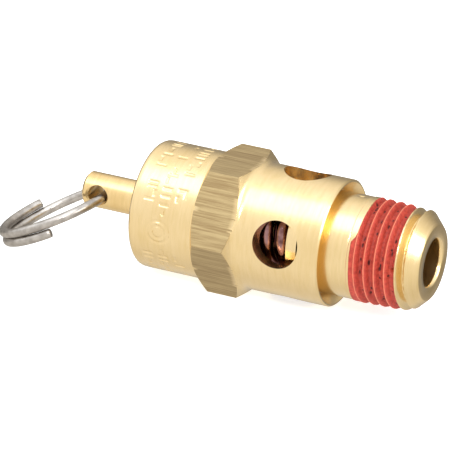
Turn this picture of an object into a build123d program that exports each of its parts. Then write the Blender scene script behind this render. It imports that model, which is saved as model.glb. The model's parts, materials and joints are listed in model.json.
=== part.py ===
from build123d import *
import math
import os

# Pressure relief valve with a 1/4-18 NPT inlet, side vents and a pull ring.
# Row frame in millimetres: X is the valve's axis and the inlet points along +X. The origin is the
# centre of the inlet end face, so every piece lies at negative x. The valve lies on a flat of its
# hexagon, +Z is up, and -Y is the side that shows a vent.

# ---- Driving dimensions -------------------------------------------------------------------------

# Inlet nozzle: nose, 1/4-18 NPT thread, neck, boss in the body and seat lip
inlet_bore_d = 6.35
inlet_countersink = 0.30
end_face_d = 10.0
thread_pitch = 25.4 / 18
thread_crest_d = 13.26
thread_depth = 1.0
thread_taper = 1 / 16
thread_flank_angle = 30.0
thread_start_turn = 0.0
thread_cutter_rise = 0.08
nose_length = 0.9
thread_length = 8.5
neck_d = 13.7
neck_length = 3.4
boss_length = 2.1
seat_lip_height = 0.4
seat_lip_width = 1.125
nozzle_bore_flare = 0.35

# Thread sealant: a coat over most of the thread's turns
sealant_thickness = 0.14
sealant_start = 2.45
sealant_valley_fill = 0.42
sealant_seam = 0.04

# Valve body: vented cylinder, hexagon and cap, bored from the cap end
vent_cylinder_d = 17.0
vent_cylinder_length = 11.95
rim_width = 0.35
rim_chamfer = 0.18
recess_depth = 1.6
neck_clearance = 0.10
hex_across_flats = 17.46
hex_width = 6.0
hex_chamfer_angle = 34.0
hex_blend_radius = 1.2
cap_d = 17.2
cap_length = 9.35
cap_rounding = 0.8
screw_thread_step = 0.3
rolled_lip_thickness = 0.7
rolled_lip_overlap = 0.9

# Side vents
vent_d = 6.35
vent_count = 4
vent_from_rim = 6.0
vent_elevation = 12.75

# Moving pieces: seat disc, its holder and the stem
seat_gap = 0.02
seat_disc_margin = 0.5
seat_disc_thickness = 1.0
holder_rim_wall = 0.8
holder_flow_gap = 0.7
holder_rim_setback = 0.10
holder_floor = 0.55
pilot_length = 2.0
pilot_clearance = 0.15
stem_d = 4.76
stem_protrusion = 10.0
stem_end_chamfer = 0.35
stem_clearance = 0.08

# Cross hole in the stem for the ring
ring_play = 0.053
cross_hole_setback = 2.35
cross_hole_countersink = 0.30
cross_hole_elevation = 5.6

# Spring, its upper seat and the adjusting screw
spring_side_gap = 1.05
spring_wire_d = 1.85
spring_coil_gap = 0.35
spring_end_sink = 0.555
spring_length = 14.0
washer_side_gap = 0.35
washer_thickness = 1.0
washer_pilot_length = 1.2
spanner_slot_width = 1.6
spanner_slot_depth = 1.2

# Pull ring: a split ring of round wire, nearly one turn and a half, hung by its droop from the axis
ring_wire_d = 1.28
ring_mean_radius = 7.85
ring_coil_gap = 0.03
ring_turns = 1.425
ring_start_angle = 72.0
ring_droop = 28.0
ring_side_slide = 1.0
ring_twist = 3.5
ring_sag = 0.45

# ---- Stations along the axis, measured back from the inlet end face ------------------------------

thread_back = nose_length + thread_length
rim_station = thread_back + neck_length
recess_station = rim_station + recess_depth
boss_station = recess_station + boss_length
seat_station = boss_station + seat_lip_height
disc_front = seat_station + seat_gap
holder_front = disc_front + holder_rim_setback
disc_back = disc_front + seat_disc_thickness
spring_front = disc_back + holder_floor
pilot_station = spring_front + pilot_length
spring_back = spring_front + spring_length
washer_back = spring_back + washer_thickness
hex_front = rim_station + vent_cylinder_length
hex_back = hex_front + hex_width
body_end = hex_back + cap_length
screw_back = body_end - rolled_lip_thickness
stem_end = body_end + stem_protrusion
cross_hole_station = stem_end - cross_hole_setback
vent_station = rim_station + vent_from_rim

# ---- Radii, from the bore outwards: each piece is sized by the one inside it ----------------------

bore_radius = inlet_bore_d / 2
seat_lip_radius = bore_radius + seat_lip_width
seat_disc_radius = seat_lip_radius + seat_disc_margin
holder_radius = seat_disc_radius + holder_rim_wall
chamber_radius = holder_radius + holder_flow_gap
neck_radius = neck_d / 2
washer_radius = chamber_radius - washer_side_gap
screw_radius = chamber_radius + screw_thread_step
lip_opening_radius = screw_radius - rolled_lip_overlap
spring_radius = chamber_radius - spring_side_gap
pilot_radius = spring_radius - spring_wire_d - pilot_clearance
stem_radius = stem_d / 2
stem_hole_radius = stem_radius + stem_clearance
ring_rise = ring_mean_radius - math.sqrt(ring_mean_radius**2 - (stem_radius + ring_side_slide) ** 2)
ring_lean = ring_sag + stem_radius * math.sin(math.radians(ring_twist))
cross_hole_radius = ring_wire_d / 2 + math.hypot(ring_rise / 2, ring_lean) + ring_play
vent_cylinder_radius = vent_cylinder_d / 2
cap_radius = cap_d / 2
hex_flat_radius = hex_across_flats / 2
hex_corner_radius = hex_flat_radius / math.cos(math.pi / 6)
hex_chamfer = (hex_corner_radius - hex_flat_radius) * math.tan(math.radians(hex_chamfer_angle))


def thread_radius(station):
    """Crest radius of the tapered thread at a distance behind the inlet end face."""
    return (thread_crest_d + thread_taper * station) / 2


def side_direction(elevation):
    """Unit vector square to the axis, from the -Y side turned up by an elevation in degrees."""
    turn = math.radians(elevation)
    return Vector(0, -math.cos(turn), math.sin(turn))


def revolved(points):
    """Turn a closed outline of (station, radius) corners about the valve's axis."""
    with BuildSketch(Plane.XY) as outline:
        with BuildLine():
            Polyline(*[(-station, radius) for station, radius in points], close=True)
        make_face()
    revolve(outline.sketch, axis=Axis.X)


os.makedirs("parts", exist_ok=True)

# ---- Inlet nozzle --------------------------------------------------------------------------------

taper_angle = math.degrees(math.atan(thread_taper / 2))
flank_run = thread_depth * math.tan(math.radians(thread_flank_angle))
flat_half = (thread_pitch - 2 * flank_run) / 4
opening_half = flat_half + flank_run
cutter_run = thread_cutter_rise * math.tan(math.radians(thread_flank_angle))
groove_start = nose_length + thread_pitch / 2
groove_end = thread_back - thread_pitch / 2
nose_chamfer = thread_radius(nose_length) - end_face_d / 2


def groove_helix(start):
    """Middle of the thread's groove, at crest radius, from a station back to the groove's end."""
    path = Helix(
        pitch=thread_pitch,
        height=groove_end - start,
        radius=thread_radius(start),
        center=(-start, 0, 0),
        direction=(-1, 0, 0),
        cone_angle=taper_angle,
        mode=Mode.PRIVATE,
    )
    turn = 360 * (start - groove_start) / thread_pitch + thread_start_turn
    return path.rotate(Axis((0, 0, 0), (-1, 0, 0)), turn)


def groove_section_plane(path):
    """Plane across the groove: local x runs back along the axis and local y points outward."""
    start = path @ 0
    outward = Vector(0, start.Y, start.Z)
    along = Vector(-1, 0, 0)
    return Plane(origin=start, x_dir=along, z_dir=along.cross(outward))


with BuildPart() as inlet_nozzle:
    revolved([
        (0, bore_radius + inlet_countersink),
        (0, end_face_d / 2),
        (nose_chamfer, thread_radius(nose_chamfer)),
        (thread_back, thread_radius(thread_back)),
        (thread_back, neck_radius),
        (recess_station, neck_radius),
        (recess_station, chamber_radius),
        (boss_station, chamber_radius),
        (boss_station, seat_lip_radius + seat_lip_height),
        (seat_station, seat_lip_radius),
        (seat_station, bore_radius + nozzle_bore_flare),
        (seat_station - nozzle_bore_flare, bore_radius),
        (inlet_countersink, bore_radius),
    ])
    groove_path = groove_helix(groove_start)
    with BuildSketch(groove_section_plane(groove_path)):
        with BuildLine():
            Polyline(
                (-flat_half, -thread_depth),
                (flat_half, -thread_depth),
                (opening_half + cutter_run, thread_cutter_rise),
                (-opening_half - cutter_run, thread_cutter_rise),
                close=True,
            )
        make_face()
    sweep(path=groove_path, is_frenet=True, mode=Mode.SUBTRACT)
inlet_nozzle.part.label = "inlet_nozzle"
export_step(inlet_nozzle.part, "parts/inlet_nozzle.step")

# ---- Thread sealant: a coat that lines the groove and meets itself on the crests ------------------

coat_half = (thread_pitch - sealant_seam) / 2
with BuildPart() as thread_sealant:
    coat_path = groove_helix(sealant_start + thread_pitch / 2)
    with BuildSketch(groove_section_plane(coat_path)):
        with BuildLine():
            Polyline(
                (-coat_half, 0),
                (-opening_half, 0),
                (-flat_half, -thread_depth),
                (flat_half, -thread_depth),
                (opening_half, 0),
                (coat_half, 0),
                (coat_half, sealant_thickness),
                (opening_half - sealant_thickness, 0),
                (flat_half + sealant_thickness, sealant_valley_fill - thread_depth),
                (-flat_half - sealant_thickness, sealant_valley_fill - thread_depth),
                (sealant_thickness - opening_half, 0),
                (-coat_half, sealant_thickness),
                close=True,
            )
        make_face()
    sweep(path=coat_path, is_frenet=True)
thread_sealant.part.label = "thread_sealant"
export_step(thread_sealant.part, "parts/thread_sealant.step")

# ---- Valve body: vented cylinder, hexagon and cap in one piece, bored from the cap end ------------

# The outlines are turned from a plane midway between two vents, clear of every vent's edge.
between_vents = side_direction(vent_elevation + 180 / vent_count)
turning_plane = Plane(origin=(0, 0, 0), x_dir=(1, 0, 0), z_dir=Vector(1, 0, 0).cross(between_vents))

# On the inlet side a hollow arc runs the hexagon's chamfer out onto the vented cylinder.
chamfer_slope = math.radians(hex_chamfer_angle)
cone_foot = hex_front - (hex_flat_radius - vent_cylinder_radius) * math.tan(chamfer_slope)
blend_reach = hex_blend_radius * math.tan(math.radians(45) - chamfer_slope / 2)
blend_turn = math.radians(90) - chamfer_slope
blend_front = cone_foot - blend_reach
blend_back = cone_foot + blend_reach * math.cos(blend_turn)
blend_top = vent_cylinder_radius + blend_reach * math.sin(blend_turn)

with BuildPart() as valve_body:
    with BuildSketch(Plane.YZ.offset(-hex_back)):
        RegularPolygon(radius=hex_flat_radius, side_count=6, major_radius=False)
    extrude(amount=hex_back - blend_front)
    with BuildSketch(turning_plane):
        with BuildLine():
            Polyline(
                (-blend_back, blend_top),
                (-hex_front - hex_chamfer, hex_corner_radius),
                (-hex_back + hex_chamfer, hex_corner_radius),
                (-hex_back, hex_flat_radius),
                (-hex_back, 0),
                (-blend_front, 0),
                (-blend_front, vent_cylinder_radius),
            )
            RadiusArc(
                (-blend_front, vent_cylinder_radius),
                (-blend_back, blend_top),
                -hex_blend_radius,
            )
        make_face()
    revolve(axis=Axis.X, mode=Mode.INTERSECT)
    with BuildSketch(turning_plane):
        with BuildLine():
            Polyline(
                (-rim_station, 0),
                (-rim_station, vent_cylinder_radius - rim_chamfer),
                (-rim_station - rim_chamfer, vent_cylinder_radius),
                (-hex_front, vent_cylinder_radius),
                (-hex_front, cap_radius),
                (-body_end + cap_rounding, cap_radius),
            )
            RadiusArc(
                (-body_end + cap_rounding, cap_radius),
                (-body_end, cap_radius - cap_rounding),
                -cap_rounding,
            )
            Polyline(
                (-body_end, cap_radius - cap_rounding),
                (-body_end, 0),
                (-rim_station, 0),
            )
        make_face()
    revolve(axis=Axis.X)
    with BuildSketch(turning_plane):
        with BuildLine():
            Polyline(
                (-rim_station, 0),
                (-rim_station, vent_cylinder_radius - rim_width),
                (-recess_station, neck_radius + neck_clearance),
                (-recess_station, chamber_radius),
                (-washer_back, chamber_radius),
                (-washer_back, screw_radius),
                (-screw_back, screw_radius),
                (-screw_back, lip_opening_radius),
                (-body_end, lip_opening_radius),
                (-body_end, 0),
                close=True,
            )
        make_face()
    revolve(axis=Axis.X, mode=Mode.SUBTRACT)
    for vent in range(vent_count):
        outward = side_direction(vent_elevation + vent * 360 / vent_count)
        vent_plane = Plane(origin=(-vent_station, 0, 0), x_dir=(1, 0, 0), z_dir=outward)
        with BuildSketch(vent_plane):
            Circle(vent_d / 2)
        extrude(amount=vent_cylinder_radius + vent_d, mode=Mode.SUBTRACT)
valve_body.part.label = "valve_body"
export_step(valve_body.part, "parts/valve_body.step")

# ---- Seat disc, disc holder and stem: the three pieces that lift together -------------------------

with BuildPart() as seat_disc:
    revolved([
        (disc_front, 0),
        (disc_front, seat_disc_radius),
        (disc_back, seat_disc_radius),
        (disc_back, 0),
    ])
seat_disc.part.label = "seat_disc"
export_step(seat_disc.part, "parts/seat_disc.step")

with BuildPart() as disc_holder:
    revolved([
        (holder_front, seat_disc_radius),
        (holder_front, holder_radius),
        (spring_front, holder_radius),
        (spring_front, pilot_radius),
        (pilot_station, pilot_radius),
        (pilot_station, stem_radius),
        (disc_back, stem_radius),
        (disc_back, seat_disc_radius),
    ])
disc_holder.part.label = "disc_holder"
export_step(disc_holder.part, "parts/disc_holder.step")

cross_direction = side_direction(cross_hole_elevation)
cross_hole_centre = Vector(-cross_hole_station, 0, 0)
countersink_radius = cross_hole_radius + cross_hole_countersink
with BuildPart() as stem:
    revolved([
        (disc_back, 0),
        (disc_back, stem_radius),
        (stem_end - stem_end_chamfer, stem_radius),
        (stem_end, stem_radius - stem_end_chamfer),
        (stem_end, 0),
    ])
    with BuildSketch(Plane(origin=cross_hole_centre, x_dir=(1, 0, 0), z_dir=cross_direction)):
        Circle(cross_hole_radius)
    extrude(amount=stem_radius, both=True, mode=Mode.SUBTRACT)
    for side in (1, -1):
        mouth = Plane(
            origin=cross_hole_centre + cross_direction * side * (stem_radius - cross_hole_countersink),
            x_dir=(1, 0, 0),
            z_dir=cross_direction * side,
        )
        with BuildSketch(mouth) as inner_circle:
            Circle(cross_hole_radius)
        with BuildSketch(mouth.offset(cross_hole_countersink)) as outer_circle:
            Circle(countersink_radius)
        loft([inner_circle.sketch.face(), outer_circle.sketch.face()], mode=Mode.SUBTRACT)
stem.part.label = "stem"
export_step(stem.part, "parts/stem.step")

# ---- Spring, upper spring seat and adjusting screw ------------------------------------------------

spring_mean_radius = spring_radius - spring_wire_d / 2
spring_pitch = spring_wire_d + spring_coil_gap
with BuildPart() as spring:
    coil_path = Helix(
        pitch=spring_pitch,
        height=spring_length - 2 * spring_end_sink,
        radius=spring_mean_radius,
        center=(-spring_front - spring_end_sink, 0, 0),
        direction=(-1, 0, 0),
        mode=Mode.PRIVATE,
    )
    with BuildSketch(Plane(origin=coil_path @ 0, z_dir=coil_path % 0)):
        Circle(spring_wire_d / 2)
    sweep(path=coil_path, is_frenet=True)
    with BuildSketch(Plane.YZ.offset(-spring_back)):
        Circle(spring_radius + spring_wire_d)
    extrude(amount=spring_length, mode=Mode.INTERSECT)
spring.part.label = "spring"
export_step(spring.part, "parts/spring.step")

with BuildPart() as spring_washer:
    revolved([
        (spring_back, washer_radius),
        (washer_back, washer_radius),
        (washer_back, stem_hole_radius),
        (spring_back - washer_pilot_length, stem_hole_radius),
        (spring_back - washer_pilot_length, pilot_radius),
        (spring_back, pilot_radius),
    ])
spring_washer.part.label = "spring_washer"
export_step(spring_washer.part, "parts/spring_washer.step")

with BuildPart() as adjusting_screw:
    revolved([
        (washer_back, screw_radius),
        (screw_back, screw_radius),
        (screw_back, stem_hole_radius),
        (washer_back, stem_hole_radius),
    ])
    with BuildSketch(Plane.YZ.offset(-screw_back)):
        Rectangle(2 * screw_radius, spanner_slot_width)
    extrude(amount=spanner_slot_depth, mode=Mode.SUBTRACT)
adjusting_screw.part.label = "adjusting_screw"
export_step(adjusting_screw.part, "parts/adjusting_screw.step")

# ---- Pull ring: wire coiled through the cross hole, side by side with itself at the far end --------

# It hangs by its droop from the axis, leans on the low side of the hole and is twisted a little.
side_down = cross_direction.cross(Vector(-1, 0, 0))
droop = math.radians(ring_droop)
twist = math.radians(ring_twist)
ring_outward = Vector(-1, 0, 0) * math.cos(droop) + side_down * math.sin(droop)
ring_side = cross_direction * math.cos(twist) - ring_outward.cross(cross_direction) * math.sin(twist)
ring_normal = ring_outward.cross(ring_side)
ring_reach = math.sqrt(ring_mean_radius**2 - ring_side_slide**2) - ring_rise / 2
ring_centre = (
    cross_hole_centre
    + ring_outward * ring_reach
    + ring_side * ring_side_slide
    - ring_normal * ring_sag
)
ring_coil_pitch = ring_wire_d + ring_coil_gap
hole_passage = (360 - ring_start_angle) / 360

ring_plane = Plane(origin=ring_centre, x_dir=-ring_outward, z_dir=ring_normal)
with BuildPart() as pull_ring:
    ring_path = Helix(
        pitch=ring_coil_pitch,
        height=ring_coil_pitch * ring_turns,
        radius=ring_mean_radius,
        center=(0, 0, -ring_coil_pitch * hole_passage),
        lefthand=True,
        mode=Mode.PRIVATE,
    )
    ring_path = ring_path.rotate(Axis.Z, -ring_start_angle)
    with BuildSketch(Plane(origin=ring_path @ 0, z_dir=ring_path % 0)):
        Circle(ring_wire_d / 2)
    sweep(path=ring_path, is_frenet=True)
pull_ring.part.locate(ring_plane.location)
pull_ring.part.label = "pull_ring"
export_step(pull_ring.part, "parts/pull_ring.step")
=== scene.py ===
import json
import math

import bmesh
import bpy
import numpy as np
from mathutils import Matrix, Vector


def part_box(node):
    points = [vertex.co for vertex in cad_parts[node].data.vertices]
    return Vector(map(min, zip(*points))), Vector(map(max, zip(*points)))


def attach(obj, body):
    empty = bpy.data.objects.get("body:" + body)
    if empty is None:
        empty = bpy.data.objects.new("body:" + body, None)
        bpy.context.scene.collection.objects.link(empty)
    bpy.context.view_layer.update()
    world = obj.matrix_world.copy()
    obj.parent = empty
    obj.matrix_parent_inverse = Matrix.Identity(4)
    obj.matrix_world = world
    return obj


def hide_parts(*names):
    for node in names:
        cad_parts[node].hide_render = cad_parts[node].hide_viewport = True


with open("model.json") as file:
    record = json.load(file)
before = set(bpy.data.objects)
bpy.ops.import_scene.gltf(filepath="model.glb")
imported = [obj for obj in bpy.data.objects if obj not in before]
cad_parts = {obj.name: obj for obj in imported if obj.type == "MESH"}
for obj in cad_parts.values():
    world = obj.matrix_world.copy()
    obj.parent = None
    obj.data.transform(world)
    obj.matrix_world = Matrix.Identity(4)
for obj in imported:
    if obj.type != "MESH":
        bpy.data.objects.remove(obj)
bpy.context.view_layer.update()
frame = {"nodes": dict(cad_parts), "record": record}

MM = 0.001

# ---- Sizes of the valve in millimetres; stations run back from the inlet end face ------------------

NOSE_STATION = 0.9
THREAD_BACK = 9.4
RIM_STATION = 12.8
RECESS_STATION = 14.4
BOSS_STATION = 16.5
SEAT_STATION = 16.9
VENT_STATION = 18.8
HEX_FRONT = 24.75
HEX_BACK = 30.75
WASHER_BACK = 33.47
SCREW_BACK = 39.4
BODY_END = 40.1
SPRING_FRONT = 18.47
SPRING_BACK = 32.47

BORE_RADIUS = 3.175
END_FACE_RADIUS = 5.0
NECK_RADIUS = 6.85
CHAMBER_RADIUS = 6.3
CHAMBER_VENTS_BACK = 24.4
BOSS_FACE_RADIUS = 4.7
SEAT_OUTER_RADIUS = 4.3
SEAT_INNER_RADIUS = 3.525
VENT_CYLINDER_RADIUS = 8.5
RIM_INNER_RADIUS = 8.15
RIM_CHAMFER = 0.18
RECESS_FOOT_RADIUS = 6.95
FLAT_RADIUS = 8.73
CHAMFER_SLOPE = math.radians(34)
BLEND_RADIUS = 1.2
CAP_RADIUS = 8.6
CAP_ROUNDING = 0.8
SCREW_RADIUS = 6.6
LIP_RADIUS = 5.7
VENT_RADIUS = 3.175
VENT_ELEVATION = 12.75
VENT_COUNT = 4
STAMP_DEPTH = 0.09
STAMP_WALL = 0.14
STAMP_FADE = 0.4
STAMP_ROWS = (32.9, 35.1, 37.3)
STAMP_FIRST_TURN, STAMP_LAST_TURN, STAMP_ROW_LAG = -2.6, 2.9, 0.1
UPRIGHT_BAR, LEVEL_BAR = (0.13, 0.62), (0.38, 0.13)
BADGE_TURN, BADGE_STATION = 0.02, 35.6
BADGE_RADII = (1.55, 0.85)
BADGE_LINE_HALF = 0.12
BADGE_CLEAR_TURN = 0.30

THREAD_PITCH = 25.4 / 18
THREAD_DEPTH = 1.0
THREAD_END_RADIUS = 6.63
THREAD_TAPER = 32
THREAD_FLANK = math.radians(30)
NICK_STATION, NICK_TURN, NICK_DEPTH = 10.7, 1.72, 0.22
NICK_LENGTH, NICK_WIDTH = 0.28, 0.16
PIT_COUNT = 120
PIT_MEAN_RADIUS = 6.2
PIT_DEPTH = 0.16
COAT_AWAY = [0.0, 0.204, 0.501, 0.62, 0.706]
COAT_HEIGHT = [-0.58, -0.55, 0.0, 0.09, 0.12]
THREAD_START_ELEVATION = -90.0
SPRING_MEAN_RADIUS = 4.325
SPRING_START_ELEVATION = -90.0
SPRING_WIRE_RADIUS = 0.925
SPRING_COIL_PITCH = 2.2
SPRING_END_SINK = 0.555

STEM_RADIUS = 2.38
RING_WIRE_RADIUS = 0.64
RING_MEAN_RADIUS = 7.85
RING_COIL_PITCH = 1.31
RING_TURNS = 1.425
RING_START = 72.0
RING_DROOP = 28.0
RING_SIDE_SLIDE = 1.0
RING_TWIST = 3.5
RING_SAG = 0.45
CROSS_HOLE_STATION = 47.75
CROSS_HOLE_ELEVATION = 5.6

COLUMNS = 480
BORDER_STEPS = 40
MERGE_WORKED_OUT, MERGE_COPIED = 2e-6, 1e-7
floor_z = min(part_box("valve_body")[0][2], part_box("pull_ring")[0][2])


# ---- Shader maths --------------------------------------------------------------------------------

class Wire:
    """A number that runs through a shader tree: arithmetic on it adds Math nodes."""

    def __init__(self, paint, socket):
        self.paint = paint
        self.socket = socket

    def maths(self, operation, *others):
        values = {0: self}
        for index, other in enumerate(others, start=1):
            values[index] = other
        return self.paint.node("ShaderNodeMath", {"operation": operation}, values)

    def __add__(self, other):
        return self.maths("ADD", other)

    def __sub__(self, other):
        return self.maths("SUBTRACT", other)

    def __rsub__(self, other):
        return self.paint.node("ShaderNodeMath", {"operation": "SUBTRACT"}, {0: other, 1: self})

    def __mul__(self, other):
        return self.maths("MULTIPLY", other)

    def __truediv__(self, other):
        return self.maths("DIVIDE", other)

    __radd__ = __add__
    __rmul__ = __mul__

    def step(self, low, high):
        """0 below low, 1 above high, smooth between."""
        ends = {1: low, 2: high, 3: 0.0, 4: 1.0}
        settings = {"interpolation_type": "SMOOTHSTEP"}
        return self.paint.node("ShaderNodeMapRange", settings, {0: self, **ends})


class Tree:
    """A shader tree with short ways to add its nodes."""

    def __init__(self, tree):
        self.tree = tree

    def node(self, kind, settings=None, values=None, output=0):
        """Adds a node: its settings first, then its sockets' values or links."""
        made = self.tree.nodes.new(kind)
        for key, value in (settings or {}).items():
            if key == "stops":
                ramp = made.color_ramp
                while len(ramp.elements) < len(value):
                    ramp.elements.new(1.0)
                for element, (position, colour) in zip(ramp.elements, value):
                    element.position = position
                    element.color = (*colour, 1.0)
            else:
                setattr(made, key, value)
        for key, value in (values or {}).items():
            if isinstance(value, Wire):
                self.tree.links.new(value.socket, made.inputs[key])
            else:
                made.inputs[key].default_value = value
        return Wire(self, made.outputs[output])

    def split(self, vector):
        """The three numbers of a vector wire."""
        parts = self.tree.nodes.new("ShaderNodeSeparateXYZ")
        self.tree.links.new(vector.socket, parts.inputs[0])
        return tuple(Wire(self, parts.outputs[i]) for i in range(3))

    def point(self, x, y, z):
        """A vector made of three numbers or wires."""
        return self.node("ShaderNodeCombineXYZ", None, {0: x, 1: y, 2: z})

    def noise(self, vector, scale, detail=2.0, roughness=0.5):
        settings = {"noise_dimensions": "3D"}
        values = {"Vector": vector, "Scale": scale, "Detail": detail, "Roughness": roughness}
        return self.node("ShaderNodeTexNoise", settings, values)

    def ramp(self, factor, stops):
        return self.node("ShaderNodeValToRGB", {"stops": stops}, {0: factor})

    def blend(self, factor, first, second):
        """A mix of two colours, each a colour wire or a plain colour."""
        values = {0: factor, 6: first, 7: second}
        for key in (6, 7):
            if isinstance(values[key], tuple):
                values[key] = (*values[key], 1.0)
        return self.node("ShaderNodeMix", {"data_type": "RGBA"}, values, output=2)


class Paint(Tree):
    """One procedural material on a Principled shader, measured in millimetres on the object."""

    def __init__(self, name, **constants):
        self.material = bpy.data.materials.new(name)
        self.material.use_nodes = True
        super().__init__(self.material.node_tree)
        self.shader = self.tree.nodes["Principled BSDF"]
        for socket, value in constants.items():
            self.shader.inputs[socket.replace("_", " ")].default_value = value
        place = self.node("ShaderNodeTexCoord", output="Object")
        self.place = self.node(
            "ShaderNodeVectorMath", {"operation": "SCALE"}, {0: place, "Scale": 1 / MM})
        self.x, self.y, self.z = self.split(self.place)

    def attribute(self, name):
        return self.node("ShaderNodeAttribute", {"attribute_name": name}, None, output="Fac")

    def base(self, colour):
        self.tree.links.new(colour.socket, self.shader.inputs["Base Color"])

    def rough(self, value):
        self.tree.links.new(value.socket, self.shader.inputs["Roughness"])

    def bump(self, height, depth_mm):
        """Raises the surface by depth_mm where height is 1."""
        values = {"Height": height, "Distance": depth_mm * MM, "Strength": 1.0}
        relief = self.node("ShaderNodeBump", None, values)
        self.tree.links.new(relief.socket, self.shader.inputs["Normal"])


# ---- Finishes ------------------------------------------------------------------------------------

PALE_BRASS = (0.88, 0.69, 0.40)
DEEP_BRASS = (0.80, 0.60, 0.30)
FLAT_PALE = (0.58, 0.45, 0.24)
FLAT_DEEP = (0.34, 0.235, 0.115)


def turned_look(paint, pale, deep, roughness):
    """Lathe lines about the axis, faint stains and a broken sheen: colour, roughness, relief."""
    lines = paint.noise(paint.point(paint.x * 9.0, 0.0, 0.0), 1.0, 3.0, 0.7)
    smear = paint.noise(paint.point(paint.x * 2.5, paint.y * 0.35, paint.z * 0.35), 1.0, 3.0)
    drift = paint.noise(paint.place, 0.22, 3.0)
    tone = lines * 0.3 + drift * 0.4 + smear * 0.3
    colour = paint.blend(tone.step(0.32, 0.68), deep, pale)
    return colour, roughness + lines * 0.08 + smear * 0.06 - 0.05, lines


def turned_brass(name, pale=PALE_BRASS, deep=DEEP_BRASS, roughness=0.22, line_depth=0.004):
    paint = Paint(name, Metallic=1.0)
    colour, shine, lines = turned_look(paint, pale, deep, roughness)
    paint.base(colour)
    paint.rough(shine)
    paint.bump(lines, line_depth)
    return paint.material


def body_brass(name):
    """Turned brass whose hexagon flats keep the bar's dull skin, drawn along the axis."""
    paint = Paint(name, Metallic=1.0)
    turned, shine, lines = turned_look(paint, PALE_BRASS, DEEP_BRASS, 0.22)
    on_flat = paint.attribute("bar_skin")
    streak = paint.noise(paint.point(paint.x * 0.12, paint.y * 4.2, paint.z * 4.2), 1.0, 4.0, 0.72)
    scratch = paint.noise(paint.point(paint.x * 0.05, paint.y * 1.1, paint.z * 1.1), 1.0, 2.0, 0.6)
    skin = paint.blend((streak * 0.75 + scratch * 0.25).step(0.34, 0.66), FLAT_DEEP, FLAT_PALE)
    paint.base(paint.blend(on_flat, turned, skin))
    dull = 0.36 + streak * 0.16
    paint.rough(shine * (1.0 - on_flat) + dull * on_flat)
    paint.bump(lines * (1.0 - on_flat) + streak * on_flat * 5.0, 0.004)
    return paint.material


def sealant_red(name):
    """Dried thread sealant: matt red, painted paler over the crests as a highlight, and painted dark in its
    pores as shade.
    """
    paint = Paint(name)
    grain = paint.noise(paint.place, 2.4, 3.0)
    fine = paint.noise(paint.place, 9.0, 2.0)
    pore = paint.attribute("pore")
    crest = paint.attribute("crest")
    skin = paint.blend(grain.step(0.3, 0.7), (0.30, 0.021, 0.010), (0.44, 0.042, 0.022))
    # Painted highlight: the crests are painted a paler orange red where their lines catch the light.
    skin_and_crest_highlight = paint.blend(crest.step(0.55, 1.0) * 0.75, skin, (0.64, 0.19, 0.10))
    # Painted shade: the pits are painted nearly black for the shade inside them.
    paint.base(paint.blend(pore.step(0.05, 0.4), skin_and_crest_highlight, (0.07, 0.004, 0.003)))
    paint.rough(0.55 + grain * 0.2)
    paint.bump(grain * 0.6 + fine * 0.4, 0.05)
    return paint.material


def dark_spring_steel(name):
    """Oil-blackened spring wire with a plum sheen."""
    paint = Paint(name, Metallic=1.0)
    drift = paint.noise(paint.place, 0.9, 3.0)
    paint.base(paint.blend(drift.step(0.3, 0.7), (0.14, 0.060, 0.058), (0.36, 0.20, 0.20)))
    paint.rough(0.14 + drift * 0.10)
    return paint.material


def ring_steel(name):
    """Bright drawn wire with light scratches along and across it."""
    paint = Paint(name, Metallic=1.0)
    drift = paint.noise(paint.place, 0.9, 4.0, 0.6)
    paint.base(paint.blend(drift.step(0.3, 0.7), (0.36, 0.33, 0.305), (0.56, 0.525, 0.49)))
    paint.rough(0.24 + drift * 0.14)
    paint.bump(drift, 0.01)
    return paint.material


def black_rubber(name):
    paint = Paint(name)
    grain = paint.noise(paint.place, 6.0, 2.0)
    paint.base(paint.blend(grain, (0.015, 0.015, 0.015), (0.04, 0.04, 0.04)))
    paint.rough(0.5 + grain * 0.2)
    return paint.material


# ---- Surfaces worked out on grids ----------------------------------------------------------------

def smooth_step(value):
    """0 below 0, 1 above 1, and 3v^2 - 2v^3 between."""
    value = np.clip(value, 0, 1)
    return value * value * (3 - 2 * value)


def on_axis(station, radius, turn):
    """Points at a station, a radius and a turn in radians from -Y up about the valve's axis."""
    station, radius, turn = np.broadcast_arrays(station, radius, turn)
    return np.stack([-station, -radius * np.cos(turn), radius * np.sin(turn)], -1)


def column_turns(columns=COLUMNS):
    return np.arange(columns) * 2 * np.pi / columns


def turned(profile, columns=COLUMNS):
    """A profile of (station, radius) rows carried round the axis: one row of points each."""
    profile = np.array(profile, dtype=float)
    return on_axis(profile[:, :1], profile[:, 1:], column_turns(columns)[None, :])


def divided(profile, longest):
    """A profile with points added so that no step is longer than a length."""
    out = [profile[0]]
    for (s0, r0), (s1, r1) in zip(profile, profile[1:]):
        count = max(1, math.ceil(math.hypot(s1 - s0, r1 - r0) / longest))
        out += [(s0 + (s1 - s0) * k / count, r0 + (r1 - r0) * k / count) for k in range(1, count + 1)]
    return out


def quads(rows, columns, first, close_rows, close_columns):
    """Corner numbers of a grid's quads, numbered row by row from first."""
    r = np.arange(rows if close_rows else rows - 1)[:, None]
    c = np.arange(columns if close_columns else columns - 1)[None, :]
    r_next, c_next = (r + 1) % rows, (c + 1) % columns
    corners = [r * columns + c, r * columns + c_next, r_next * columns + c_next, r_next * columns + c]
    return first + np.stack(corners, -1).reshape(-1, 4)


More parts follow.
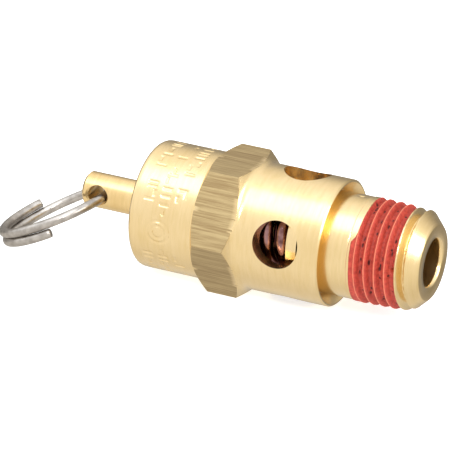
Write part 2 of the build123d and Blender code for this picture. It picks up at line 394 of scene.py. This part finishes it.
def shell(name, grids, sharp_degrees=30.0, rounding=0.0, close_rows=False, close_columns=True):
    """One closed piece from grids of points in millimetres, each with its named masks.

    Grids are merged where they meet, the faces are turned outwards, edges that turn more than
    an angle are sharp, and a rounding, where there is one, is a Bevel on those edges."""
    points, faces, first = [], [], 0
    masks = {}
    for grid, values in grids:
        rows, columns = grid.shape[:2]
        points.append(grid.reshape(-1, 3))
        faces.append(quads(rows, columns, first, close_rows, close_columns))
        for key, value in values.items():
            masks.setdefault(key, []).append(np.broadcast_to(value, (rows, columns)).reshape(-1))
        first += rows * columns
    points, faces = np.concatenate(points) * MM, np.concatenate(faces)
    mesh = bpy.data.meshes.new(name)
    mesh.from_pydata(points.tolist(), [], faces.tolist())
    for key, value in masks.items():
        layer = mesh.attributes.new(key, "FLOAT", "POINT")
        layer.data.foreach_set("value", np.concatenate(value).astype(np.float32))
    shape = bmesh.new()
    shape.from_mesh(mesh)
    bmesh.ops.remove_doubles(shape, verts=shape.verts, dist=MERGE_WORKED_OUT)
    bmesh.ops.recalc_face_normals(shape, faces=shape.faces)
    return finish_shell(name, mesh, shape, sharp_degrees, rounding)


def finish_shell(name, mesh, shape, sharp_degrees, rounding):
    """Sets the smooth and sharp edges, makes the object and adds its modifiers."""
    for face in shape.faces:
        face.smooth = True
    for edge in shape.edges:
        if len(edge.link_faces) == 2:
            edge.smooth = edge.calc_face_angle(0.0) < math.radians(sharp_degrees)
    shape.to_mesh(mesh)
    shape.free()
    piece = bpy.data.objects.new(name, mesh)
    bpy.context.scene.collection.objects.link(piece)
    if rounding:
        bevel = piece.modifiers.new("broken edges", "BEVEL")
        bevel.width = rounding * MM
        bevel.segments = 2
        bevel.limit_method = "ANGLE"
        bevel.angle_limit = math.radians(sharp_degrees)
    weights = piece.modifiers.new("even normals", "WEIGHTED_NORMAL")
    weights.keep_sharp = True
    return piece


def smooth_copy(node, sharp_degrees):
    """A merged copy of a node's mesh, smooth except over edges that turn more than an angle."""
    shape = bmesh.new()
    shape.from_mesh(frame["nodes"][node].data)
    bmesh.ops.remove_doubles(shape, verts=shape.verts, dist=MERGE_COPIED)
    mesh = bpy.data.meshes.new(node + "_finished")
    return finish_shell(node + "_finished", mesh, shape, sharp_degrees, 0.0)


# ---- Valve body ----------------------------------------------------------------------------------

CONE_FOOT = HEX_FRONT - (FLAT_RADIUS - VENT_CYLINDER_RADIUS) * math.tan(CHAMFER_SLOPE)
BLEND_REACH = BLEND_RADIUS * math.tan(math.radians(45) - CHAMFER_SLOPE / 2)
BLEND_FRONT = CONE_FOOT - BLEND_REACH
BLEND_TURN = math.radians(90) - CHAMFER_SLOPE


def hexagon_radius(turn):
    """Distance from the axis to the hexagon: flat radius over the cosine of the turn from the flat."""
    from_flat = turn % (np.pi / 3) - np.pi / 6
    return FLAT_RADIUS / np.cos(from_flat)


def hexagon_rows():
    """Rows from the vent cylinder up the blend arc and the chamfer, along the flats, and down.

    The blend is an arc tangent to the cylinder; where the hexagon ends within the arc, the arc
    stops there. Past the arc the chamfer is a cone up to the hexagon's own radius."""
    turn = column_turns()[None, :]
    edge = hexagon_radius(turn)
    arc_end = np.minimum(
        BLEND_TURN, np.arccos(np.clip(1 - (edge - VENT_CYLINDER_RADIUS) / BLEND_RADIUS, -1, 1)))
    part = np.linspace(0, 1, 7)[:, None]
    arc = arc_end * part
    arc_station = BLEND_FRONT + BLEND_RADIUS * np.sin(arc)
    arc_radius = VENT_CYLINDER_RADIUS + BLEND_RADIUS * (1 - np.cos(arc))
    up = np.linspace(0, 1, 6)[1:, None]
    cone_radius = arc_radius[-1:] + (np.maximum(edge, arc_radius[-1:]) - arc_radius[-1:]) * up
    cone_station = arc_station[-1:] + (cone_radius - arc_radius[-1:]) * math.tan(CHAMFER_SLOPE)
    front = cone_station[-1:]
    back = HEX_BACK - (edge - FLAT_RADIUS) * math.tan(CHAMFER_SLOPE)
    along = np.linspace(0, 1, 9)[1:, None]
    flat_station = front + (back - front) * along
    down = np.linspace(0, 1, 5)[1:, None]
    back_radius = edge + (FLAT_RADIUS - edge) * down
    back_station = HEX_BACK - (back_radius - FLAT_RADIUS) * math.tan(CHAMFER_SLOPE)
    step = np.full_like(edge, HEX_BACK)
    stations = np.concatenate([arc_station, cone_station, flat_station, back_station, step])
    radii = np.concatenate(
        [arc_radius, cone_radius, edge + 0 * flat_station, back_radius, 0 * step + CAP_RADIUS])
    rows = len(arc_station) + len(cone_station)
    skin = np.zeros_like(stations)
    skin[rows - 1:rows + len(flat_station)] = 1.0
    return on_axis(stations, radii, turn), {"bar_skin": skin}


def rectangle_border(centre, half_turn, front, back, along_count):
    """Turns and stations round a rectangle on the unrolled cylinder, at the shared columns."""
    across_count = round(half_turn * 2 / (2 * np.pi / COLUMNS))
    rise = np.linspace(0, 1, across_count, endpoint=False)
    run = np.linspace(0, 1, along_count, endpoint=False)
    turn = np.concatenate([-1 + 2 * rise, np.ones(along_count), 1 - 2 * rise, -np.ones(along_count)])
    station = np.concatenate([0 * rise, run, 0 * rise + 1, 1 - run])
    return centre + turn * half_turn, front + station * (back - front)


def vent_quadrant(centre_degrees):
    """A quarter of the vented cylinder as one grid, from its outer border in through the vent.

    On the unrolled cylinder each column runs straight from the rectangle's border to the vent's
    edge; on the vent's edge at radius r the turn is arcsin(a sin(angle) / r) and the station
    a cos(angle), where a is the vent's radius. The grid then goes down the vent's wall to the
    chamber and out over the chamber's wall to a rectangle there."""
    centre = math.radians(centre_degrees)
    half = math.pi / VENT_COUNT
    front = RIM_STATION + RIM_CHAMFER
    turn, station = rectangle_border(centre, half, front, BLEND_FRONT, BORDER_STEPS)
    angle = np.arctan2((turn - centre) * VENT_CYLINDER_RADIUS, station - VENT_STATION)

    def edge_at(radius):
        away = np.arcsin(VENT_RADIUS * np.sin(angle) / radius)
        return centre + away, VENT_STATION + VENT_RADIUS * np.cos(angle)

    edge_turn, edge_station = edge_at(VENT_CYLINDER_RADIUS)
    rows = []
    for part in np.linspace(0, 1, 10):
        row_station = station + (edge_station - station) * part
        rows.append(on_axis(row_station, VENT_CYLINDER_RADIUS, turn + (edge_turn - turn) * part))
    for radius in np.linspace(VENT_CYLINDER_RADIUS, CHAMBER_RADIUS, 5)[1:]:
        wall_turn, wall_station = edge_at(radius)
        rows.append(on_axis(wall_station, radius, wall_turn))
    in_turn, in_station = rectangle_border(centre, half, RECESS_STATION, CHAMBER_VENTS_BACK, BORDER_STEPS)
    for part in np.linspace(0, 1, 6)[1:]:
        row_station = wall_station + (in_station - wall_station) * part
        rows.append(on_axis(row_station, CHAMBER_RADIUS, wall_turn + (in_turn - wall_turn) * part))
    return np.stack(rows), {"bar_skin": 0.0}


def stamped_bars():
    """Plain bars of a generic stamping: middle turn, station, half width round, half length along."""
    draw = np.random.default_rng(11)
    bars = []
    for row, station in enumerate(STAMP_ROWS):
        turn = STAMP_FIRST_TURN + STAMP_ROW_LAG * row
        while turn < STAMP_LAST_TURN:
            upright = draw.random() < 0.6
            if upright:
                bars.append((turn, station, *UPRIGHT_BAR))
            else:
                bars.append((turn, station + draw.choice([-0.5, 0.0, 0.5]), *LEVEL_BAR))
            turn += draw.uniform(0.07, 0.15)
            if draw.random() < 0.13:
                turn += 0.22
    return bars


def stamping(turn, station):
    """Depth of the stamped marks: bars, and two plain rings about one middle, each with soft walls."""
    depth = np.zeros(np.broadcast(turn, station).shape)
    for middle, place, half_width, half_length in stamped_bars():
        if abs(middle - BADGE_TURN) < BADGE_CLEAR_TURN:
            continue
        across = np.abs((turn - middle + np.pi) % (2 * np.pi) - np.pi) * CAP_RADIUS - half_width
        along = np.abs(station - place) - half_length
        depth = np.maximum(depth, 1 - smooth_step(np.maximum(across, along) / STAMP_WALL))
    away = np.hypot((turn - BADGE_TURN) * CAP_RADIUS, station - BADGE_STATION)
    for radius in BADGE_RADII:
        line = (np.abs(away - radius) - BADGE_LINE_HALF) / STAMP_WALL
        depth = np.maximum(depth, 1 - smooth_step(line))
    return STAMP_DEPTH * depth


def cap_rows():
    """The stamped cap, its rounded end, the rolled lip, and the bore back to the chamber."""
    turn = column_turns()[None, :]
    signed = (turn + np.pi) % (2 * np.pi) - np.pi
    station = np.linspace(HEX_BACK, BODY_END - CAP_ROUNDING, 70)[:, None]
    fade = smooth_step((station - HEX_BACK) / STAMP_FADE)
    fade = fade * smooth_step((BODY_END - CAP_ROUNDING - station) / STAMP_FADE)
    skin = on_axis(station, CAP_RADIUS - stamping(signed, station) * fade, turn)
    corner = np.radians(np.linspace(0, 90, 7)[1:])
    end = [
        (BODY_END - CAP_ROUNDING * (1 - math.sin(a)), CAP_RADIUS - CAP_ROUNDING * (1 - math.cos(a)))
        for a in corner
    ]
    end += [(BODY_END - 0.02, 7.3), (BODY_END - 0.09, 7.05), (BODY_END - 0.10, 6.75), (BODY_END - 0.04, 6.5)]
    end += [(BODY_END, 6.2), (BODY_END - 0.04, 5.9), (BODY_END - 0.16, 5.75), (BODY_END - 0.34, LIP_RADIUS)]
    end += [(SCREW_BACK, LIP_RADIUS), (SCREW_BACK, SCREW_RADIUS), (WASHER_BACK, SCREW_RADIUS)]
    end += [(WASHER_BACK, CHAMBER_RADIUS), (CHAMBER_VENTS_BACK, CHAMBER_RADIUS)]
    return np.concatenate([skin, turned(end)]), {"bar_skin": 0.0}


rim = [(RECESS_STATION, CHAMBER_RADIUS), (RECESS_STATION, RECESS_FOOT_RADIUS)]
rim += [(RIM_STATION, RIM_INNER_RADIUS)]
rim += [(RIM_STATION, VENT_CYLINDER_RADIUS - RIM_CHAMFER), (RIM_STATION + RIM_CHAMFER, VENT_CYLINDER_RADIUS)]
body_grids = [(turned(divided(rim, 0.35)), {"bar_skin": 0.0}), hexagon_rows(), cap_rows()]
body_grids += [vent_quadrant(VENT_ELEVATION + 360 / VENT_COUNT * k) for k in range(VENT_COUNT)]


# ---- Inlet nozzle and its sealant ----------------------------------------------------------------

NOZZLE_COLUMNS = 360
GROOVE_START = NOSE_STATION + THREAD_PITCH / 2
GROOVE_TURNS = (THREAD_BACK - THREAD_PITCH / 2 - GROOVE_START) / THREAD_PITCH
FLANK_RUN = THREAD_DEPTH * math.tan(THREAD_FLANK)
FLAT_HALF = (THREAD_PITCH - 2 * FLANK_RUN) / 4
OPENING_HALF = FLAT_HALF + FLANK_RUN


def crest_radius(station):
    """The pipe thread's taper: 6.63 at the inlet end face, one in thirty-two on the radius."""
    return THREAD_END_RADIUS + station / THREAD_TAPER


def groove_place(station, turn):
    """Axial distance from the nearest groove's middle, and how many turns along the thread it is.

    The groove's middle is at start + pitch (turn - first turn) / 360 degrees, every pitch."""
    wound = (turn - math.radians(THREAD_START_ELEVATION)) / (2 * np.pi)
    count = (station - GROOVE_START) / THREAD_PITCH - wound
    nearest = np.round(count)
    return (count - nearest) * THREAD_PITCH, wound + nearest


def thread_surface(station, turn):
    """The nose cone and the tapered crest, cut by a V groove that runs out softly at its ends."""
    away, along = groove_place(station, turn)
    within = smooth_step((along + 0.05) / 0.15) * smooth_step((GROOVE_TURNS + 0.05 - along) / 0.15)
    vee = np.clip((OPENING_HALF - np.abs(away)) / FLANK_RUN, 0, 1)
    vee = 0.85 * vee + 0.15 * smooth_step(vee)
    crest = crest_radius(station)
    return np.minimum(np.minimum(crest, END_FACE_RADIUS + station), crest - THREAD_DEPTH * vee * within)


def nozzle_rows():
    """The bore, the end face, the threaded length as a height field, the neck, boss and seat lip."""
    turn = column_turns(NOZZLE_COLUMNS)[None, :]
    face = [(0.6, BORE_RADIUS), (0.30, BORE_RADIUS), (0.0, BORE_RADIUS + 0.30), (0.0, 4.4), (0.0, 4.93)]
    face += [(0.02, 4.98), (0.08, 5.06)]
    station = np.linspace(0.2, THREAD_BACK - 0.03, 184)[:, None]
    threaded = on_axis(station, thread_surface(station, turn), turn)
    rest = [(THREAD_BACK, 6.80), (THREAD_BACK + 0.05, NECK_RADIUS)]
    rest += divided([(THREAD_BACK + 0.05, NECK_RADIUS), (RECESS_STATION, NECK_RADIUS)], 0.25)[1:]
    neck = np.array(rest)
    neck_station, neck_radius = neck[:, :1], neck[:, 1:]
    nick_run = (neck_station - NICK_STATION) / NICK_LENGTH
    nick_across = (turn - NICK_TURN) * NECK_RADIUS / NICK_WIDTH
    nick = np.exp(-nick_run ** 2 - nick_across ** 2)
    neck_points = on_axis(neck_station, neck_radius - NICK_DEPTH * nick, turn)
    inner = [(RECESS_STATION, CHAMBER_RADIUS), (BOSS_STATION, CHAMBER_RADIUS)]
    inner += [(BOSS_STATION, BOSS_FACE_RADIUS), (SEAT_STATION, SEAT_OUTER_RADIUS)]
    inner += [(SEAT_STATION, SEAT_INNER_RADIUS), (SEAT_STATION - 0.35, BORE_RADIUS)]
    inner += [(11.0, BORE_RADIUS), (5.0, BORE_RADIUS)]
    parts = [turned(face, NOZZLE_COLUMNS), threaded, neck_points, turned(inner, NOZZLE_COLUMNS)]
    return np.concatenate(parts), {}


def ragged(turn, seed, reach):
    """An edge's wander: a sum of waves round the axis with seeded turns, at most reach."""
    draw = np.random.default_rng(seed)
    wander = np.zeros_like(turn)
    for waves in (2, 3, 5, 9, 14, 23, 31):
        wander += np.sin(waves * turn + draw.uniform(0, 2 * np.pi)) / waves ** 0.5
    return reach * wander / 3.0


def pore_pits(station, turn):
    """Pits in the coat: seeded spots near the valleys, longer along the thread than across it."""
    draw = np.random.default_rng(5)
    pits = np.zeros(np.broadcast(station, turn).shape)
    away, along = groove_place(station, turn)
    for _ in range(PIT_COUNT):
        centre = draw.uniform(0.3, GROOVE_TURNS)
        offset = draw.normal(-0.02, 0.16)
        length, width = draw.uniform(0.10, 0.30), draw.uniform(0.08, 0.15)
        strength = draw.uniform(0.5, 1.0)
        run = (along - centre) * 2 * np.pi * PIT_MEAN_RADIUS
        near = np.abs(run) < 1.2
        spot = np.exp(-(run[near] / length) ** 2 - ((away[near] - offset) / width) ** 2)
        pits[near] = np.maximum(pits[near], strength * spot)
    return pits


# Where the coat starts and ends: turn in degrees from the front, and station.
SEALANT_FRONT = [(-180, 3.35), (-90, 2.65), (-48, 2.6), (-18, 2.85), (2, 3.0), (9, 3.35), (13, 2.95)]
SEALANT_FRONT += [(22, 2.85), (63, 3.12), (104, 3.35), (150, 3.4), (180, 3.35)]
SEALANT_BACK = [(-180, 9.2), (-51, 9.36), (-33, 9.2), (4, 9.1), (31, 9.25), (37, 8.8), (43, 8.65)]
SEALANT_BACK += [(82, 8.5), (110, 8.75), (150, 9.1), (180, 9.2)]


def sealant_rows():
    """A coat over the thread: filled valleys, thin crests and pits, sinking into the brass at its
    ragged ends; the second half of the rows is the inside, just under the thread's surface."""
    turn = column_turns(NOZZLE_COLUMNS)[None, :]
    signed = np.degrees((turn + np.pi) % (2 * np.pi) - np.pi)
    station = np.linspace(2.2, THREAD_BACK + 0.02, 145)[:, None]
    away, along = groove_place(station, turn)
    front = np.interp(signed, *zip(*SEALANT_FRONT)) + ragged(turn, 3, 0.10)
    back = np.interp(signed, *zip(*SEALANT_BACK)) + ragged(turn, 4, 0.05)
    cover = smooth_step((station - front) / 0.16) * smooth_step((back - station) / 0.14)
    coat = np.interp(np.abs(away), COAT_AWAY, COAT_HEIGHT)
    waves = 0.02 * np.sin(3.1 * signed / 10 + 5 * station) * np.sin(2.3 * station + signed / 7)
    pits = pore_pits(station, turn)
    outer = crest_radius(station) + coat - 0.02 + waves - PIT_DEPTH * pits
    brass = thread_surface(station, turn)
    outer = np.where(cover > 0, np.maximum(outer, brass + 0.03), outer)
    outer = (brass - 0.06) + (outer - brass + 0.06) * cover
    outer = np.minimum(outer, crest_radius(station) + 0.14)
    outside = on_axis(station, outer, turn)
    inside = on_axis(station, np.minimum(outer, brass) - 0.05, turn)
    masks = {
        # pore: the pits' depth, also where the sealant is painted dark as shade.
        "pore": np.concatenate([pits, 0 * pits]),
        # crest: where the sealant is painted paler as a highlight.
        "crest": np.concatenate([smooth_step((np.abs(away) - 0.5) / 0.2), 0 * away]),
    }
    return np.concatenate([outside, inside[::-1]]), masks


# ---- Wires wound in a helix ----------------------------------------------------------------------

def wire_tube(path, radius, sides=20):
    """A round wire along a path of points: at each point a circle square to the path.

    The circle's axes are the direction in which the tangent turns and that direction's cross
    product with the tangent. The rows at each end shrink to close the cut with a small rounding."""
    tangent = np.gradient(path, axis=0)
    tangent /= np.linalg.norm(tangent, axis=1, keepdims=True)
    bend = np.gradient(tangent, axis=0)
    bend -= tangent * np.sum(bend * tangent, axis=1, keepdims=True)
    bend /= np.linalg.norm(bend, axis=1, keepdims=True)
    side = np.cross(tangent, bend)
    around = np.arange(sides) * 2 * np.pi / sides
    circle = np.cos(around)[None, :, None] * bend[:, None, :]
    circle = circle + np.sin(around)[None, :, None] * side[:, None, :]
    shrink = [0.0, 0.6, 0.86, 0.97]
    back_off = np.array([0.0, 0.0, 0.02, 0.07]) * radius / RING_WIRE_RADIUS
    rows = [path[0] + tangent[0] * b + circle[0] * radius * k for k, b in zip(shrink, back_off)]
    rows += [path[i] + circle[i] * radius for i in range(2, len(path) - 2)]
    rows += [path[-1] - tangent[-1] * b + circle[-1] * radius * k
             for k, b in zip(shrink[::-1], back_off[::-1])]
    return np.stack(rows), {}


def spring_path():
    """A right-hand helix about the valve's axis, from its start turn straight below the axis."""
    length = SPRING_BACK - SPRING_FRONT - 2 * SPRING_END_SINK
    turns = length / SPRING_COIL_PITCH
    wound = np.linspace(0, turns, round(turns * 72))
    turn = math.radians(SPRING_START_ELEVATION) + wound * 2 * np.pi
    return on_axis(SPRING_FRONT + SPRING_END_SINK + wound * SPRING_COIL_PITCH, SPRING_MEAN_RADIUS, turn)


def spring_rows():
    """The wound wire with its two ends ground flat at the spring's length."""
    grid, masks = wire_tube(spring_path(), SPRING_WIRE_RADIUS)
    grid[..., 0] = np.clip(grid[..., 0], -SPRING_BACK, -SPRING_FRONT)
    return grid, masks


def ring_path():
    """A left-hand coil of nearly one turn and a half through the stem's cross hole.

    The ring's plane holds an outward direction that droops from the axis, and the hole's direction
    turned by the twist about it. The centre is pulled in by half the ring's bow within the stem and
    lowered by the sag. The offset along the plane's normal is the pitch times the turns past the
    hole."""
    rise, droop = math.radians(CROSS_HOLE_ELEVATION), math.radians(RING_DROOP)
    hole = np.array([0, -math.cos(rise), math.sin(rise)])
    down = np.cross(hole, [-1.0, 0, 0])
    outward = np.array([-1.0, 0, 0]) * math.cos(droop) + down * math.sin(droop)
    twist = math.radians(RING_TWIST)
    side = hole * math.cos(twist) - np.cross(outward, hole) * math.sin(twist)
    normal = np.cross(outward, side)
    bow = RING_MEAN_RADIUS - math.sqrt(RING_MEAN_RADIUS ** 2 - (STEM_RADIUS + RING_SIDE_SLIDE) ** 2)
    reach = math.sqrt(RING_MEAN_RADIUS ** 2 - RING_SIDE_SLIDE ** 2) - bow / 2
    centre = np.array([-CROSS_HOLE_STATION, 0, 0]) + outward * reach + side * RING_SIDE_SLIDE
    centre = centre - normal * RING_SAG
    angle = np.radians(RING_START + 360 * np.linspace(0, RING_TURNS, 240))[:, None]
    flat = RING_MEAN_RADIUS * (np.cos(angle) * -outward + np.sin(angle) * side)
    return centre + flat + RING_COIL_PITCH * (angle / (2 * np.pi) - 1) * normal


# ---- Pieces --------------------------------------------------------------------------------------

holder_finish = turned_brass("holder brass", roughness=0.18, line_depth=0.003)
pieces = {
    "valve_body": (shell("body_finished", body_grids, 28.0, 0.11), body_brass("body brass")),
    "inlet_nozzle": (
        shell("nozzle_finished", [nozzle_rows()], 48.0, close_rows=True), turned_brass("nozzle brass")),
    "thread_sealant": (
        shell("sealant_finished", [sealant_rows()], 60.0, close_rows=True), sealant_red("red sealant")),
    "spring": (shell("spring_finished", [spring_rows()], 50.0), dark_spring_steel("dark spring")),
    "pull_ring": (
        shell("ring_finished", [wire_tube(ring_path(), RING_WIRE_RADIUS)], 60.0), ring_steel("ring steel")),
    "seat_disc": (smooth_copy("seat_disc", 28.0), black_rubber("seat rubber")),
    "disc_holder": (smooth_copy("disc_holder", 28.0), holder_finish),
    "stem": (
        smooth_copy("stem", 28.0),
        turned_brass("stem brass", (0.88, 0.66, 0.34), (0.77, 0.54, 0.24), 0.20, 0.003)),
    "spring_washer": (smooth_copy("spring_washer", 28.0), holder_finish),
    "adjusting_screw": (smooth_copy("adjusting_screw", 28.0), turned_brass("screw brass")),
}
body_of_node = {}
for body_name, members in frame["record"]["behaviour"]["bodies"].items():
    for member in members:
        body_of_node[member] = body_name

for node_name, (piece, finish) in pieces.items():
    piece.data.materials.append(finish)
    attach(piece, body_of_node[node_name])
    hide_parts(node_name)


# ---- Floor, light and camera ---------------------------------------------------------------------

def flat_sheet(name, centre, size, finish):
    """A square in the XY plane."""
    half = size / 2
    mesh = bpy.data.meshes.new(name)
    corners = [(-half, -half, 0), (half, -half, 0), (half, half, 0), (-half, half, 0)]
    mesh.from_pydata([tuple(np.array(c) + centre) for c in corners], [], [(0, 1, 2, 3)])
    mesh.materials.append(finish)
    sheet = bpy.data.objects.new(name, mesh)
    bpy.context.scene.collection.objects.link(sheet)
    return sheet


floor_paint = Paint(
    "studio floor", Base_Color=(0.80, 0.80, 0.80, 1.0), Roughness=0.6,
    Emission_Color=(1.0, 1.0, 1.0, 1.0), Emission_Strength=0.68)
floor_sheet = flat_sheet("floor", np.array([-0.03, 0.0, floor_z]), 6.0, floor_paint.material)
floor_sheet.visible_glossy = False


def soft_light(name, azimuth, elevation, distance, size, power, colour=(1, 1, 1)):
    """A rectangular area light aimed at the valve from an azimuth (0 is -Y) and an elevation."""
    turn, rise = math.radians(azimuth), math.radians(elevation)
    away = Vector((math.sin(turn) * math.cos(rise), -math.cos(turn) * math.cos(rise), math.sin(rise)))
    data = bpy.data.lights.new(name, "AREA")
    data.shape = "RECTANGLE"
    data.size, data.size_y = size
    data.energy = power
    data.color = colour
    lamp = bpy.data.objects.new(name, data)
    lamp.location = Vector((-0.03, 0, 0)) + away * distance
    lamp.rotation_euler = away.to_track_quat("Z", "Y").to_euler()
    bpy.context.scene.collection.objects.link(lamp)


soft_light("overhead", -20, 68, 0.5, (0.40, 0.30), power=0.5, colour=(0.93, 0.97, 1.0))
soft_light("right", 82, 28, 0.5, (0.30, 0.20), power=1.1, colour=(1.0, 0.97, 0.92))
soft_light("vent", 22, 42, 0.5, (0.10, 0.06), power=0.45)

# The surroundings by their turn about the valve's axis, from straight behind, through below, in
# front and overhead, back to straight behind: brightest overhead, dark behind.
SURROUNDINGS = [
    (-180, 0.30), (-163, 0.32), (-148, 0.38), (-118, 0.85), (-86, 0.85), (-58, 1.0), (-30, 1.1),
    (10, 1.1), (38, 1.2), (62, 1.6), (84, 1.7), (108, 1.4), (132, 1.15), (148, 0.9), (165, 0.5),
    (180, 0.30),
]
WARM, WHITE = (1.0, 0.95, 0.86), (0.95, 0.98, 1.0)


def surround_stops():
    """Ramp stops: the turn as a part of a whole turn, warm where the light is weak."""
    stops = []
    for degrees, light in SURROUNDINGS:
        tint = smooth_step((light - 0.8) / 0.8)
        colour = tuple(light / 2 * (w + (c - w) * tint) for w, c in zip(WARM, WHITE))
        stops.append(((degrees + 180) / 360, colour))
    return stops


world = bpy.data.worlds.new("studio")
bpy.context.scene.world = world
world.use_nodes = True
sky = Tree(world.node_tree)
_, toward_y, toward_z = sky.split(sky.node("ShaderNodeTexCoord", output="Generated"))
about_axis = sky.node("ShaderNodeMath", {"operation": "ARCTAN2"}, {0: toward_z, 1: 0.0 - toward_y})
surround = sky.ramp(about_axis / (2 * math.pi) + 0.5, surround_stops())
backdrop = world.node_tree.nodes["Background"]
sky.tree.links.new(surround.socket, backdrop.inputs["Color"])
backdrop.inputs["Strength"].default_value = 2.0

AZIMUTH, ELEVATION, ROLL = math.radians(25.07), math.radians(25.35), math.radians(1.1)
CAMERA_DISTANCE = 0.470
LENS_MM = 284.2
AIM_POINT = Vector((-0.02957, 0, 0))
AIM_LEFT, AIM_DOWN = 0.000218, 0.000954
level = Vector((math.cos(AZIMUTH), math.sin(AZIMUTH), 0))
back = Vector((
    math.sin(AZIMUTH) * math.cos(ELEVATION),
    -math.cos(AZIMUTH) * math.cos(ELEVATION),
    math.sin(ELEVATION),
))
upright = back.cross(level)
right = level * math.cos(ROLL) + upright * math.sin(ROLL)
up = upright * math.cos(ROLL) - level * math.sin(ROLL)
aim = AIM_POINT - right * AIM_LEFT - up * AIM_DOWN
camera_data = bpy.data.cameras.new("camera")
camera_data.lens = LENS_MM
camera_data.sensor_width = 36
camera_data.clip_end = 20
camera = bpy.data.objects.new("camera", camera_data)
rotation = Matrix((right, up, back)).transposed().to_4x4()
camera.matrix_world = Matrix.Translation(aim + back * CAMERA_DISTANCE) @ rotation
bpy.context.scene.collection.objects.link(camera)
bpy.context.scene.camera = camera
bpy.context.scene.view_settings.view_transform = "Standard"
